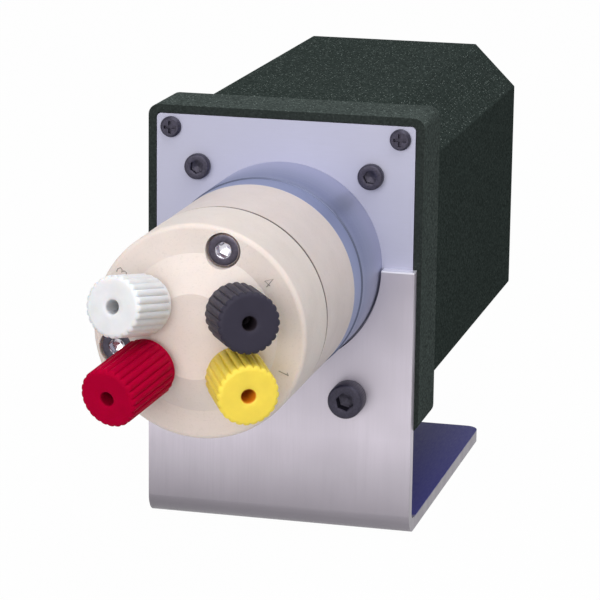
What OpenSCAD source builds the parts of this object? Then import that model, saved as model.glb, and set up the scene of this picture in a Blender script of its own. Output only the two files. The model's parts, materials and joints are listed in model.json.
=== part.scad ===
// Motor-driven four-port injection valve for liquid chromatography, on an aluminium bench bracket.
// Units are millimetres. +X is right and +Y is away, seen from the front; +Z is up.
// The origin is the middle of the underside of the bracket's foot.

/* [Housing] */
// width of the bezel and of the cover
housing_w = 62.5; // [55:0.5:75]
// height of the bezel and of the cover
housing_h = 70.8; // [66:0.2:84]
// depth of the bezel, front to back
bezel_depth = 16.6; // [13:0.2:22]
// length of the cover behind the bezel
cover_len = 93.4; // [88:0.2:120]
// leg of the flat bevel along the cover's four long edges
cover_bevel = 10.2; // [7:0.1:11]
// wall thickness of the cover
cover_wall = 2; // [1.5:0.1:2.4]
// radius of the bezel's corners
bezel_corner_r = 2.4; // [1:0.1:4]

/* [Front plate] */
// width of bezel that shows around the plate
plate_margin = 1.95; // [1.5:0.05:3]
// thickness of the plate
plate_t = 3; // [2:0.1:5]
// radius of the plate's corners
plate_corner_r = 1; // [0.5:0.1:3]
// gap between the plate's edge and the bezel
plate_gap = 0.2; // [0.1:0.05:0.4]

/* [Bracket] */
// width of the bracket
bracket_w = 60.5; // [54:0.5:62]
// thickness of the bracket's sheet
bracket_t = 3; // [2:0.1:4]
// length of the foot, front to back
foot_len = 82; // [60:1:110]
// radius of the foot's rear corners
foot_corner_r = 3.2; // [1:0.1:8]
// outside radius of the bend
bend_r = 4.6; // [4.2:0.1:8]
// height of the valve's axis above the bench
axis_height = 60.3; // [58:0.1:70]
// how far the housing's underside lies below the valve's axis
housing_drop = 37.1; // [35.5:0.1:38]

/* [Valve head] */
// diameter of the mounting collar
collar_d = 44.8; // [44.6:0.1:46]
// length of the mounting collar
collar_len = 18.8; // [15:0.1:24]
// diameter of the clamp ring
ring_d = 44.2; // [43.6:0.1:44.6]
// length of the clamp ring
ring_len = 6.4; // [4:0.1:9]
// diameter of the valve body
body_d = 44.3; // [43.6:0.1:44.6]
// length of the valve body
body_len = 24.7; // [23:0.1:30]
// diameter of the stator
stator_d = 44.45; // [44:0.05:45]
// thickness of the stator at its rim
stator_len = 17.2; // [16.5:0.1:20]
// diameter of the foot of the stator's raised cone
cone_base_d = 32.6; // [31:0.1:33]
// diameter of the flat on top of the cone
cone_top_d = 17.6; // [15:0.1:19]
// slope of the cone
cone_slope = 28; // [22:1:34]
// radius of the circle of stator screws
stator_screw_r = 17.8; // [17.6:0.05:18]
// direction of the first stator screw, in degrees from the right
stator_screw_angle = 74; // [72:1:76]
// diameter of the bore inside the body
body_bore_d = 24.4; // [24:0.1:25]

/* [Ports] */
// height of a nut's seat above the stator's rim
port_rise = 3.9; // [3.8:0.1:5]
// port 1: distance right of the axis, above it, tilt, direction of tilt, length of its nut
port_1 = [8.42, 5.8, 28.9, 7, 13.2];
// port 2: the same five values
port_2 = [-9.7, 5.95, 17.2, 145, 13.2];
// port 3: the same five values
port_3 = [-8.88, -6.45, 18.8, 218.5, 16.5];
// port 4: the same five values
port_4 = [8.57, -6.95, 28.2, 350, 13.2];
// outside diameter of a fitting nut
nut_d = 12.5; // [11.8:0.1:12.6]
// length of the smooth ring behind a nut's ridges
nut_ring_len = 1.2; // [0.8:0.1:2]
// depth of the wide mouth of the nut's bore
nut_mouth_depth = 6; // [4:0.1:8]
// number of ridges around a nut
nut_ridges = 24; // [18:1:30]
// depth of the ridges
ridge_depth = 0.4; // [0.3:0.05:0.8]
// diameter of the nut's thread
nut_thread_d = 6.2; // [6:0.05:6.3]
// length of the nut's thread
nut_thread_len = 9; // [8:0.1:9.4]
// diameter of the mouth of the tube bore
tube_mouth_d = 2.8; // [2.2:0.1:3.2]
// diameter of the tube bore
tube_bore_d = 1.7; // [1.6:0.05:1.9]

/* [Drive] */
// module of the gears
gear_module = 0.5; // [0.5:0.01:0.52]
// teeth on the output gear
output_teeth = 48; // [48:1:48]
// teeth on the idler's large gear
idler_teeth = 36; // [36:1:36]
// teeth on both pinions
pinion_teeth = 12; // [12:1:12]
// turn of the valve between its two positions, in degrees
valve_turn = 90; // [60:5:90]
// diameter of the motor
motor_d = 28; // [24:0.5:29]
// length of the motor with its end caps
motor_len = 37.5; // [32:0.5:42]

/* [Screws] */
// head diameter of the bracket screws
bracket_screw_d = 7.9; // [7:0.1:8.4]
// head diameter of the drive screws on the plate
plate_screw_d = 5.74; // [5:0.05:6.2]
// head diameter of the plate's corner screws
corner_screw_d = 4.65; // [4.2:0.05:4.8]
// head diameter of the stator screws
stator_screw_d = 6.6; // [6:0.1:6.8]

/* [Hidden] */
$fn = 64;
eps = 0.01;
over = 1;
touch = 0.02;
run_gap = 0.05;
pass_gap = 0.3;
// room round a screw's shank in a plain hole, and in its thread
hole_slack = 0.2;
thread_slack = 0.05;
// proportions of a screw head: hexagon, its depth, edge, cross recess
hex_share = 0.52;
hex_depth_share = 0.55;
head_edge_share = 0.1;
cross_arm_share = 0.3;
cross_span_share = 1.2;
cross_depth_share = 0.65;
dome_share = 0.8;

face_y = -foot_len / 2 + bracket_t;
cover_start = bezel_depth;
cover_end = bezel_depth + cover_len;
inner_w = housing_w - 2 * cover_wall;
inner_h = housing_h - 2 * cover_wall;
inner_bevel = cover_bevel - cover_wall * (2 - sqrt(2));

plate_w = housing_w - 2 * plate_margin;
plate_h = housing_h - 2 * plate_margin;
lip_w = 6.15;
bezel_wall = 2.2;
corner_in_x = 3.3;
corner_in_z = 2.9;
corner_x = plate_w / 2 - corner_in_x;
middle_z = housing_h / 2 - housing_drop;
plate_top = middle_z + plate_h / 2;
plate_bottom = middle_z - plate_h / 2;
corner_z = plate_top - corner_in_z;
corner_head_h = 1.2;
corner_shank_r = 1.35;
corner_shank_in = 6;

// stations along the axis, measured from the front of the plate, positive to the back
collar_front = -collar_len;
ring_front = collar_front - ring_len;
body_front = ring_front - body_len;
stator_front = body_front - stator_len;
collar_step_depth = 3.2;
seam_w = 1.3;
seam_depth = 1.2;
rim_round = 1;
boss_len = 1.7;
boss_gap = 0.4;
boss_r = body_bore_d / 2 - boss_gap;
seal_front = body_front + boss_len;
seal_len = 3.5;
seal_r = 10.5;
flange_front = seal_front + seal_len;
flange_len = 3.7;
flange_r = 10.8;
bearing_front = flange_front + flange_len + touch;
bearing_len = 3.5;
spring_front = bearing_front + bearing_len;
washer_count = 4;
washer_t = 1;
washer_dish = 1;
washer_pitch = washer_t + washer_dish;
preload_gap = 0.4;
preload_front = spring_front + washer_count * washer_pitch + preload_gap;
preload_len = 5.5;
collar_bore_r = 8;
collar_step = collar_front + collar_step_depth;
shaft_r = 4;
shaft_end = 12;
shaft_bushing_in = 3.6;
shaft_bushing_front = collar_step + shaft_bushing_in;
shaft_bushing_inset = 0.5;
drive_pin_r = 1;
drive_pin_x = 7.5;
drive_pin_in_seal = 2;
drive_pin_in_flange = 2.5;
stop_pin_in_bearing = 1.5;
bearing_slack = 0.2;
bearing_groove_r = 0.8;
washer_bore_slack = 0.6;
washer_rim_slack = 1.4;
preload_slot_w = 3;
preload_slot_depth = 1.5;
dowel_r = 1;
dowel_reach = 4;
dowel_inset = 0.6;
hub_front = 4.5;
spider_front = shaft_end;
spider_len = 5;
rear_hub_front = spider_front + spider_len;
rear_hub_len = 4.3;
hub_r = 9;
jaw_inner_r = 4.6;
jaw_half = 26;
arm_half = 3;
spider_gap = 0.2;
disc_front = 23.2;
disc_t = 0.8;
disc_r = 14;
disc_slots = 12;
disc_slot_len = 2.4;
disc_slot_w = 1.2;
disc_slot_in = 2.6;
disc_boss_r = 5;
disc_boss_behind = 1.1;
sensor_w = 8;
sensor_h = 9;
sensor_len = 5.4;
sensor_over = 1.5;
sensor_z = disc_r + sensor_over;
sensor_slot_w = 1.8;
sensor_reach = 2;

plate_screw_in_x = 9.63;
plate_screw_in_z = 11.38;
plate_screw_x = plate_w / 2 - plate_screw_in_x;
plate_screw_z = plate_top - plate_screw_in_z;
plate_head_h = 1.9;
plate_shank_r = 1.75;
plate_shank_in = 7;
bracket_screw_in_x = 13.1;
bracket_screw_in_z = 6.1;
bracket_screw_x = plate_w / 2 - bracket_screw_in_x;
bracket_screw_z = plate_bottom + bracket_screw_in_z;
bracket_head_h = 4.8;
bracket_shank_r = 2.4;
bracket_shank_in = 9;
bracket_collar_gap = 0.5;
tapped_extra = 2;
post_r = 3.1;
lower_post_r = 4.8;
post_end = 26;
stack_screw_r = 1.25;
stack_screw_in = 5;
stack_head_r = 2.3;
stack_head_h = 1.6;
spacer_r = 3;
gear_plate_t = 2.5;
gear_plate_over = 4.6;
gear_plate_under = 3.2;
gear_plate_w = 2 * (plate_screw_x + post_r);
gear_plate_top = plate_screw_z + gear_plate_over;
gear_plate_bottom = bracket_screw_z - gear_plate_under;
gear_room = 11.5;
rear_plate_front = post_end + gear_plate_t + gear_room;
motor_front = rear_plate_front + gear_plate_t;
motor_drop = 8;
cap_len = 2.5;
rear_cap_len = 4;
can_wall = 1;
motor_shaft_r = 1.15;
motor_shaft_end = 1.5;
winding_gap = 1.2;
winding_front_gap = 2;
winding_rear_gap = 3;
motor_screw_x = -9;
motor_screw_z = 6;
motor_screw_r = 1;
motor_screw_in = 1.9;
motor_head_r = 1.9;
motor_head_h = 1.3;

pitch = PI * gear_module;
output_r = gear_module * output_teeth / 2;
idler_r = gear_module * idler_teeth / 2;
pinion_r = gear_module * pinion_teeth / 2;
near_reach = output_r + pinion_r;
far_reach = idler_r + pinion_r;
idler_z = (far_reach * far_reach - near_reach * near_reach - motor_drop * motor_drop)
    / (2 * motor_drop);
idler_x = sqrt(near_reach * near_reach - idler_z * idler_z);
output_to_idler = atan2(idler_z, idler_x);
idler_to_motor = atan2(-motor_drop - idler_z, -idler_x);
pressure_angle = 20;
addendum = 0.75;
dedendum = 1.15;
backlash = 0.14;
gear_gap = 1.5;
gear_step = 1;
gear_front = post_end + gear_plate_t + gear_gap;
gear_len = 5;
big_gear_front = gear_front + gear_len + gear_step;
big_gear_len = 2.4;
gear_hub_r = 5;
shaft_in = 0.6;
pinion_lip = 0.2;
pinion_tail = 0.6;
output_shaft_r = 3;
idler_shaft_r = 1.5;
bushing_r = 5.5;

rod_r = 2;
rod_in_x = 3.3;
rod_in_z = 11.4;
rod_x = inner_w / 2 - rod_in_x;
rod_z = inner_h / 2 - rod_in_z;
rod_end_r = 1.45;
rod_end_len = 6;
rear_head_r = 2.7;
rear_head_h = 1.6;
rear_screw_in = 2.5;
rear_cross_w = 0.7;
rear_cross_len = 3.4;
rear_cross_depth = 0.7;
panel_fit = 0.2;
panel_t = 2.5;
panel_inset = 1;
panel_front = cover_end - panel_inset - panel_t;
board_gap = 9.9;
board_t = 1.6;
board_rear = panel_front - board_gap;
board_front = board_rear - board_t;
board_side_gap = 6.25;
board_end_gap = 6.4;
board_w = inner_w - 2 * board_side_gap;
board_h = inner_h - 2 * board_end_gap;
board_post_in = 3.5;
board_post_x = board_w / 2 - board_post_in;
board_post_z = board_h / 2 - board_post_in;
board_post_r = 2.5;
board_stud_r = 1.2;
board_stud_len = 1.5;
board_hole_gap = 0.1;
chip_w = 10;
chip_t = 1.4;
chip_x = -9;
chip_z = 8;
driver_w = 6;
driver_h = 5;
driver_t = 1.6;
driver_x = 8;
driver_z = 14;
plug_w = 12;
plug_h = 6;
plug_t = 5.5;
plug_x = 6;
plug_z = -16;
capacitor_r = 2.8;
capacitor_len = 6.5;
capacitor_pitch = 6.5;
capacitor_x = -0.5;
capacitor_z = 0.5;
resistor_w = 2;
resistor_h = 1.2;
resistor_t = 0.8;
resistor_pitch = 3.4;
resistor_x = -16;
resistor_z = -8;
socket_z = 9;
socket_w = 16.9;
socket_h = 8.4;
socket_out = 1;
socket_opening_gap = 0.5;
socket_flange_w = 31;
socket_flange_h = 12.5;
socket_flange_t = 1;
socket_pin_r = 0.5;
socket_pin_depth = 4;
socket_pin_pitch = 2.77;
socket_row = 1.42;
socket_post_x = 12.5;
socket_post_r = 2.6;
socket_post_len = 3;
socket_stud_r = 1.5;
socket_post_bore_r = 1.1;
inlet_z = -14;
inlet_r = 6;
inlet_out = 0.5;
inlet_rim = 1.5;
inlet_rim_t = 1.2;
inlet_pin_r = 0.6;
inlet_pin_circle = 2.4;
inlet_pin_depth = 3.5;
inlet_key_w = 2;
inlet_key_h = 1;
inlet_key_z = -3.6;

cone_base_r = cone_base_d / 2;
cone_top_r = cone_top_d / 2;
cone_h = (cone_base_r - cone_top_r) * tan(cone_slope);
stator_head_h = 4;
stator_head_sunk = 0.3;
stator_sink_gap = 0.35;
stator_sink_d = stator_screw_d + 2 * stator_sink_gap;
stator_shank_r = 2;
nut_r = nut_d / 2;
spot_gap = 0.45;
thread_gap = 0.08;
relief_gap = 0.25;
ferrule_len = 3.5;
ferrule_r = 2.5;
ferrule_tip_r = 1;
ferrule_gap = 0.1;
ferrule_bore_gap = 0.02;
passage_r = 0.3;
nut_edge = 0.45;
nut_lip = 0.4;
nut_ring_step = 0.05;
// one ridge across its share of the circle: where its foot and its top start and end
ridge_shape = [[0.08, 0], [0.32, 1], [0.68, 1], [0.92, 0]];
seal_circle_r = 2.6;
stop_angle = 200;
stop_r = 9.3;
stop_pin_r = 1;
stop_notch_extra = 0.8;
collar_screw_r = 16;
collar_shank_r = 1.45;
collar_shank_in = 8;
collar_head_r = 2.6;
collar_head_h = 2.4;
collar_slot_w = 0.8;
collar_edge = 0.4;
ring_edge = 0.3;
stator_screw_in = 8;
screw_hole_gap = 0.15;

PORTS = [port_1, port_2, port_3, port_4];

// a round bar along the axis, from station y0 to station y1, centred x right of the axis and z above it
module rod(r, y0, y1, x = 0, z = 0) {
    translate([x, face_y + y1, axis_height + z]) rotate([90, 0, 0]) cylinder(h = y1 - y0, r = r);
}

// a round taper with radius r0 at station y0 and r1 at station y1
module taper(r0, r1, y0, y1, x = 0, z = 0) {
    translate([x, face_y + y1, axis_height + z]) rotate([90, 0, 0])
        cylinder(h = y1 - y0, r1 = r1, r2 = r0);
}

// a tube with its bore run past both ends
module tube(r, bore, y0, y1, x = 0, z = 0) {
    difference() {
        rod(r, y0, y1, x, z);
        rod(bore, y0 - over, y1 + over, x, z);
    }
}

// a flat shape as seen from the front, from station y0 to station y1
module plate(y0, y1, x = 0, z = 0) {
    translate([x, face_y + y1, axis_height + z]) rotate([90, 0, 0])
        linear_extrude(height = y1 - y0) children();
}

module slab(w, h, y0, y1, x = 0, z = 0) {
    translate([x - w / 2, face_y + y0, axis_height + z - h / 2]) cube([w, y1 - y0, h]);
}

module rounded_rect(w, h, r) {
    square([w - 2 * r, h], center = true);
    square([w, h - 2 * r], center = true);
    for (sx = [-1, 1], sz = [-1, 1]) translate([sx * (w / 2 - r), sz * (h / 2 - r)]) circle(r = r);
}

module bevelled_rect(w, h, c) {
    polygon([[-w / 2 + c, -h / 2], [w / 2 - c, -h / 2], [w / 2, -h / 2 + c], [w / 2, h / 2 - c],
        [w / 2 - c, h / 2], [-w / 2 + c, h / 2], [-w / 2, h / 2 - c], [-w / 2, -h / 2 + c]]);
}

// a wedge of a ring between two directions less than a half turn apart
module ring_sector(r0, r1, a0, a1) {
    reach = 2 * r1;
    middle = (a0 + a1) / 2;
    intersection() {
        difference() {
            circle(r = r1);
            circle(r = r0);
        }
        polygon([[0, 0], reach * [cos(a0), sin(a0)], reach * [cos(middle), sin(middle)],
            reach * [cos(a1), sin(a1)]]);
    }
}

// a screw along the axis: head in front of station y, shank behind it, hexagon socket in the head
module socket_screw(head_r, head_h, shank_r, shank_len, y, x, z) {
    socket_r = head_r * hex_share;
    socket_depth = head_h * hex_depth_share;
    edge = head_r * head_edge_share;
    difference() {
        union() {
            taper(head_r - edge, head_r, y - head_h, y - head_h + edge, x, z);
            rod(head_r, y - head_h + edge, y, x, z);
            rod(shank_r, y - eps, y + shank_len, x, z);
        }
        translate([x, face_y + y - head_h + socket_depth, axis_height + z]) rotate([90, 0, 0])
            cylinder(h = socket_depth + over, r = socket_r, $fn = 6);
    }
}

// a low round head with a cross recess
module cross_screw(head_r, head_h, shank_r, shank_len, y, x, z) {
    arm_w = head_r * cross_arm_share;
    arm_len = head_r * cross_span_share;
    bottom = y - head_h * (1 - cross_depth_share);
    difference() {
        union() {
            taper(head_r * dome_share, head_r, y - head_h, y - head_h / 2, x, z);
            rod(head_r, y - head_h / 2, y, x, z);
            rod(shank_r, y - eps, y + shank_len, x, z);
        }
        slab(arm_w, arm_len, y - head_h - over, bottom, x, z);
        slab(arm_len, arm_w, y - head_h - over, bottom, x, z);
    }
}

// places a shape on a port: its +Z points out of the port, its origin is the middle of the nut's seat
module at_port(p) {
    translate([p[0], face_y + stator_front - port_rise, axis_height + p[1]])
        rotate([90, 0, 0]) rotate([0, 0, p[3]]) rotate([0, p[2], 0]) children();
}

function involute_angle(base, r) =
    r <= base ? 0 : sqrt(r * r / (base * base) - 1) * 180 / PI - acos(base / r);

// one tooth's outline, from its left root to its right root
function tooth(teeth, root, tip, base, half, turn) =
    let (step = (tip - max(root, base)) / 3,
        radii = concat(root < base ? [root] : [], [for (k = [0:3]) max(root, base) + k * step]))
    concat(
        [for (r = radii) let (a = turn + half - involute_angle(base, r)) r * [cos(a), sin(a)]],
        [for (k = [len(radii) - 1:-1:0])
            let (r = radii[k], a = turn - half + involute_angle(base, r)) r * [cos(a), sin(a)]]);

module gear_outline(teeth, phase) {
    pitch_r = gear_module * teeth / 2;
    base = pitch_r * cos(pressure_angle);
    tip = pitch_r + addendum * gear_module;
    root = pitch_r - dedendum * gear_module;
    half = (pitch / 2 - backlash / 2) / (2 * pitch_r) * 180 / PI + involute_angle(base, pitch_r);
    polygon([for (k = [0:teeth - 1]) let (turn = phase - k * 360 / teeth)
        for (point = tooth(teeth, root, tip, base, half, turn)) point]);
}

module cover_shape(w, h, c) translate([0, middle_z]) bevelled_rect(w, h, c);

module rear_cover() color([0.16, 0.19, 0.18]) {
    difference() {
        plate(cover_start, cover_end) cover_shape(housing_w, housing_h, cover_bevel);
        plate(cover_start - over, cover_end + over) cover_shape(inner_w, inner_h, inner_bevel);
    }
}

module rear_panel() color([0.2, 0.2, 0.22]) {
    back = panel_front + panel_t + over;
    difference() {
        plate(panel_front, panel_front + panel_t)
            cover_shape(inner_w - 2 * panel_fit, inner_h - 2 * panel_fit, inner_bevel);
        at_corners(rod_x, rod_z) rod(rod_end_r + hole_slack, panel_front - over, back);
        at_corners(board_post_x, board_post_z) rod(board_stud_r + board_hole_gap, panel_front - over, back);
        slab(socket_w + 2 * socket_opening_gap, socket_h + 2 * socket_opening_gap,
            panel_front - over, back, 0, middle_z + socket_z);
        for (sx = [-1, 1]) rod(socket_stud_r + hole_slack, panel_front - over, back,
            sx * socket_post_x, middle_z + socket_z);
        rod(inlet_r + screw_hole_gap, panel_front - over, back, 0, middle_z + inlet_z);
    }
}

// places a shape made on the axis at four points about the housing's middle
module at_corners(x, z) {
    for (sx = [-1, 1], sz = [-1, 1]) translate([sx * x, 0, middle_z + sz * z]) children();
}

module rear_screws() color([0.12, 0.12, 0.13]) {
    y = panel_front + panel_t;
    at_corners(rod_x, rod_z) difference() {
        union() {
            rod(rear_head_r, y, y + rear_head_h);
            rod(rod_end_r, panel_front - rear_screw_in, y + eps);
        }
        slab(rear_cross_w, rear_cross_len, y + rear_head_h - rear_cross_depth, y + rear_head_h + over);
        slab(rear_cross_len, rear_cross_w, y + rear_head_h - rear_cross_depth, y + rear_head_h + over);
    }
}

module tie_rods() color([0.7, 0.7, 0.72]) {
    at_corners(rod_x, rod_z) difference() {
        union() {
            rod(rod_r, cover_start, panel_front);
            rod(rod_end_r, cover_start - rod_end_len, cover_start + eps);
        }
        rod(rod_end_r + thread_slack, panel_front - rear_screw_in - tapped_extra, panel_front + over);
    }
}

module front_bezel() color([0.2, 0.23, 0.21]) {
    pocket_w = plate_w + 2 * plate_gap;
    pocket_h = plate_h + 2 * plate_gap;
    difference() {
        plate(0, bezel_depth) translate([0, middle_z])
            rounded_rect(housing_w, housing_h, bezel_corner_r);
        plate(-over, plate_t) translate([0, middle_z])
            rounded_rect(pocket_w, pocket_h, plate_corner_r);
        slab(plate_w - 2 * lip_w, housing_h - 2 * bezel_wall, 0, bezel_depth + over, 0, middle_z);
        for (sx = [-1, 1]) rod(corner_shank_r + thread_slack, 0,
            plate_t + corner_shank_in + tapped_extra, sx * corner_x, corner_z);
        at_corners(rod_x, rod_z)
            rod(rod_end_r + thread_slack, cover_start - rod_end_len - over, cover_start + over);
    }
}

module front_plate() color([0.74, 0.74, 0.79]) {
    difference() {
        plate(0, plate_t) translate([0, middle_z]) rounded_rect(plate_w, plate_h, plate_corner_r);
        rod(collar_bore_r, -over, plate_t + over);
        for (sx = [-1, 1]) {
            rod(corner_shank_r + hole_slack, -over, plate_t + over, sx * corner_x, corner_z);
            rod(plate_shank_r + hole_slack, -over, plate_t + over, sx * plate_screw_x, plate_screw_z);
            rod(bracket_shank_r + hole_slack, -over, plate_t + over, sx * bracket_screw_x,
                bracket_screw_z);
        }
        at_collar_screws() rod(collar_shank_r + hole_slack, -over, plate_t + over);
    }
}

// places a shape made on the axis at the three collar screws, halfway between the stator screws
module at_collar_screws() {
    for (k = [0:2]) rotate_about_axis(stator_screw_angle + 60 + 120 * k)
        translate([collar_screw_r, 0, 0]) children();
}

// turns a shape about the valve's axis, counter-clockwise seen from the front
module rotate_about_axis(angle) {
    translate([0, 0, axis_height]) rotate([0, -angle, 0]) translate([0, 0, -axis_height]) children();
}

module corner_screws() color([0.14, 0.13, 0.16]) {
    for (sx = [-1, 1]) cross_screw(corner_screw_d / 2, corner_head_h, corner_shank_r,
        plate_t + corner_shank_in, 0, sx * corner_x, corner_z);
}

module plate_screws() color([0.14, 0.13, 0.16]) {
    for (sx = [-1, 1]) socket_screw(plate_screw_d / 2, plate_head_h, plate_shank_r,
        plate_t + plate_shank_in, 0, sx * plate_screw_x, plate_screw_z);
}

module bracket_side() {
    inner_r = bend_r - bracket_t;
    translate([0, bend_r]) square([bracket_t, axis_height - bend_r]);
    translate([bend_r, 0]) square([foot_len / 2 - bend_r, bracket_t]);
    intersection() {
        translate([bend_r, bend_r]) difference() {
            circle(r = bend_r);
            circle(r = inner_r);
        }
        square([bend_r, bend_r]);
    }
}

module foot_rear() {
    half = foot_len / 2;
    translate([-bracket_w / 2, -over]) square([bracket_w, half + over - foot_corner_r]);
    translate([-bracket_w / 2 + foot_corner_r, 0]) square([bracket_w - 2 * foot_corner_r, half]);
    for (sx = [-1, 1])
        translate([sx * (bracket_w / 2 - foot_corner_r), half - foot_corner_r])
            circle(r = foot_corner_r);
}

module stand_bracket() color([0.73, 0.71, 0.76]) {
    difference() {
        union() {
            translate([bracket_w / 2, -foot_len / 2, 0]) rotate([0, -90, 0])
                linear_extrude(height = bracket_w) mirror([1, -1]) bracket_side();
            linear_extrude(height = bracket_t) foot_rear();
        }
        rod(collar_d / 2 + bracket_collar_gap, -bracket_t - over, over);
        for (sx = [-1, 1])
            rod(bracket_shank_r + hole_slack, -bracket_t - over, over, sx * bracket_screw_x,
                bracket_screw_z);
    }
}

module bracket_screws() color([0.13, 0.12, 0.16]) {
    for (sx = [-1, 1]) socket_screw(bracket_screw_d / 2, bracket_head_h, bracket_shank_r,
        bracket_t + plate_t + bracket_shank_in, -bracket_t, sx * bracket_screw_x, bracket_screw_z);
}

module mounting_collar() color([0.6, 0.63, 0.72]) {
    r = collar_d / 2;
    difference() {
        union() {
            taper(r - collar_edge, r, collar_front, collar_front + collar_edge);
            rod(r, collar_front + collar_edge, -touch);
        }
        rod(body_bore_d / 2, collar_front - over, collar_step);
        rod(collar_bore_r, collar_step - over, over);
        stator_screw_holes(stator_shank_r + touch, collar_front - over,
            collar_front + stator_screw_in + over);
        at_collar_screws() rod(collar_shank_r + thread_slack, -collar_shank_in - over, over);
    }
}

module stator_screw_holes(r, y0, y1) {
    for (k = [0:2]) rotate_about_axis(stator_screw_angle + 120 * k) rod(r, y0, y1, stator_screw_r);
}

module collar_screws() color([0.5, 0.5, 0.52]) {
    back = plate_t + collar_head_h;
    at_collar_screws() difference() {
        union() {
            rod(collar_shank_r, -collar_shank_in, plate_t + eps);
            rod(collar_head_r, plate_t, back);
        }
        slab(collar_slot_w, 2 * collar_head_r + over, back - collar_slot_w, back + over);
    }
}

module clamp_ring() color([0.66, 0.69, 0.8]) {
    r = ring_d / 2;
    difference() {
        union() {
            taper(r - ring_edge, r, ring_front, ring_front + ring_edge);
            rod(r, ring_front + ring_edge, collar_front);
        }
        rod(body_bore_d / 2, ring_front - over, collar_front + over);
        stator_screw_holes(stator_shank_r + screw_hole_gap, ring_front - over, collar_front + over);
    }
}

module valve_body() color([0.88, 0.83, 0.76]) {
    r = body_d / 2;
    difference() {
        union() {
            rod(r, body_front + seam_w, ring_front);
            rod(r - seam_depth, body_front, body_front + seam_w + eps);
        }
        rod(body_bore_d / 2, body_front - over, ring_front + over);
        stator_screw_holes(stator_shank_r + screw_hole_gap, body_front - over, ring_front + over);
        dowel_holes();
    }
}

module dowel_holes() {
    at_dowels() rod(dowel_r, body_front - dowel_reach, body_front + dowel_reach);
}

module at_dowels() {
    for (k = [0, 1]) rotate_about_axis(stator_screw_angle + 60 + 120 * k)
        translate([stator_screw_r - dowel_inset, 0, 0]) children();
}

module dowel_pins() color([0.7, 0.7, 0.72]) {
    reach = dowel_reach - ferrule_gap;
    at_dowels() rod(dowel_r - touch, body_front - reach, body_front + reach);
}

module port_cut() {
    depth = nut_thread_len + hole_slack;
    cone_len = ferrule_len + ferrule_gap;
    translate([0, 0, -spot_gap]) cylinder(h = 3 * nut_r, r = nut_r + spot_gap);
    translate([0, 0, -depth]) cylinder(h = depth + over, r = nut_thread_d / 2 + thread_gap);
    translate([0, 0, -depth - cone_len]) cylinder(h = cone_len + eps,
        r1 = ferrule_tip_r + ferrule_gap, r2 = ferrule_r + ferrule_gap);
}

// a round bar between two points
module bar_between(r, from, to) {
    run = to - from;
    translate(from) rotate([0, acos(run[2] / norm(run)), atan2(run[1], run[0])])
        cylinder(h = norm(run), r = r);
}

// the passage of port k, from the bottom of its cone to the sealing circle
module passage(k) {
    p = PORTS[k];
    reach = nut_thread_len + ferrule_len;
    inward = reach * sin(p[2]);
    from = [p[0] - inward * cos(p[3]), face_y + stator_front - port_rise + reach * cos(p[2]),
        axis_height + p[1] - inward * sin(p[3])];
    to = [seal_circle_r * cos(45 + 90 * k), face_y + seal_front + passage_r,
        axis_height + seal_circle_r * sin(45 + 90 * k)];
    bar_between(passage_r, from, to);
}

module stator() color([0.92, 0.88, 0.83]) {
    r = stator_d / 2;
    difference() {
        union() {
            translate([0, face_y + body_front, axis_height]) rotate([90, 0, 0])
                rotate_extrude() stator_half(r);
            rod(boss_r, body_front - eps, seal_front);
        }
        stator_screw_holes(stator_shank_r + screw_hole_gap, stator_front - over, body_front + over);
        stator_screw_holes(stator_sink_d / 2, stator_front - cone_h - over,
            stator_front + stator_head_h + stator_head_sunk);
        dowel_holes();
        for (k = [0:3]) {
            at_port(PORTS[k]) port_cut();
            passage(k);
        }
    }
}

// half of the stator's outline: distance from the axis, height above the stator's back
module stator_half(r) {
    square([r - rim_round, stator_len]);
    square([r, stator_len - rim_round]);
    translate([r - rim_round, stator_len - rim_round]) intersection() {
        circle(r = rim_round);
        square([rim_round, rim_round]);
    }
    polygon([[0, stator_len - over], [cone_base_r, stator_len - over], [cone_base_r, stator_len],
        [cone_top_r, stator_len + cone_h], [0, stator_len + cone_h]]);
}

module stator_screws() color([0.55, 0.55, 0.57]) {
    seat = stator_front + stator_head_h + stator_head_sunk;
    for (k = [0:2]) rotate_about_axis(stator_screw_angle + 120 * k)
        socket_screw(stator_screw_d / 2, stator_head_h, stator_shank_r,
            collar_front + stator_screw_in - seat, seat, stator_screw_r, 0);
}

module rotor_seal() color([0.55, 0.5, 0.45]) {
    groove_depth = 0.4;
    difference() {
        rod(seal_r, seal_front + touch, flange_front);
        plate(seal_front - over, seal_front + groove_depth) for (k = [0, 1])
            ring_sector(seal_circle_r - passage_r, seal_circle_r + passage_r,
                45 + 180 * k, 135 + 180 * k);
        for (sx = [-1, 1]) rod(drive_pin_r + touch, flange_front - drive_pin_in_seal - ferrule_gap,
            flange_front + over, sx * drive_pin_x);
    }
}

module rotor_pins() color([0.7, 0.7, 0.72]) {
    for (sx = [-1, 1]) rod(drive_pin_r, flange_front - drive_pin_in_seal,
        flange_front + drive_pin_in_flange, sx * drive_pin_x);
}

module valve_shaft() color([0.72, 0.72, 0.74]) {
    half_width = asin(stop_pin_r / stop_r) + stop_notch_extra;
    difference() {
        union() {
            rod(flange_r, flange_front, flange_front + flange_len);
            rod(shaft_r, flange_front, shaft_end);
        }
        for (sx = [-1, 1]) rod(drive_pin_r + touch, flange_front - over,
            flange_front + drive_pin_in_flange + ferrule_gap, sx * drive_pin_x);
        plate(flange_front - over, flange_front + flange_len + over)
            ring_sector(stop_r - stop_pin_r - pass_gap, flange_r + over,
                stop_angle - half_width, stop_angle + valve_turn + half_width);
    }
}

module stop_pin() color([0.7, 0.7, 0.72]) {
    rotate_about_axis(stop_angle)
        rod(stop_pin_r, flange_front + pass_gap, bearing_front + stop_pin_in_bearing, stop_r);
}

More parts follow.
